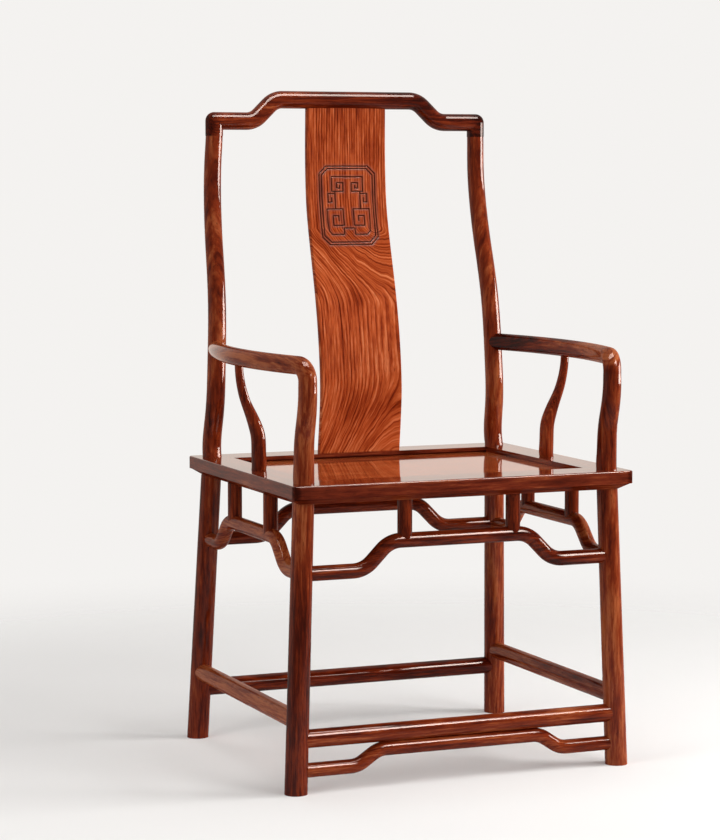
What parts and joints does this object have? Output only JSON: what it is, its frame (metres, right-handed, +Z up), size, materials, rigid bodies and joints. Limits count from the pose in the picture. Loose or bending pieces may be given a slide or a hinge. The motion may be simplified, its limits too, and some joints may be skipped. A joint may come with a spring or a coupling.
{
  "type": "official hat chair",
  "caption": "Rigid wooden armchair with a stepped crest rail, S-curved carved splat, bowed arms, recessed panel seat, humped stretchers and foot rails.",
  "frame": {"origin": "on the floor under the middle of the whole chair's box", "axes": "+X across the chair to the right as seen from the front, +Y from front to back, +Z up"},
  "size_m": [0.6268, 0.5338, 1.122],
  "materials": {
    "frame_wood": "dark red-brown rosewood, gloss lacquer",
    "board_wood": "orange-brown figured rosewood, satin lacquer",
    "panel_wood": "red-brown figured rosewood, high gloss lacquer"
  },
  "bodies": {
    "root": {"arm_strut_left": "frame_wood", "arm_strut_right": "frame_wood", "armrest_left": "frame_wood", "armrest_right": "frame_wood", "back_splat": "board_wood", "crest_rail": "frame_wood", "front_foot_brace": "frame_wood", "front_foot_rail": "frame_wood", "front_hump_stretcher": "frame_wood", "front_post_left": "frame_wood", "front_post_right": "frame_wood", "front_strut_left": "frame_wood", "front_strut_right": "frame_wood", "left_foot_rail": "frame_wood", "left_hump_stretcher": "frame_wood", "left_strut_front": "frame_wood", "left_strut_rear": "frame_wood", "rear_foot_rail": "frame_wood", "rear_hump_stretcher": "frame_wood", "rear_post_left": "frame_wood", "rear_post_right": "frame_wood", "rear_strut_left": "frame_wood", "rear_strut_right": "frame_wood", "right_foot_rail": "frame_wood", "right_hump_stretcher": "frame_wood", "right_strut_front": "frame_wood", "right_strut_rear": "frame_wood", "seat_batten_left": "frame_wood", "seat_batten_right": "frame_wood", "seat_front_rail": "panel_wood", "seat_left_rail": "panel_wood", "seat_panel": "panel_wood", "seat_rear_rail": "panel_wood", "seat_right_rail": "panel_wood"}
  },
  "joints": []
}
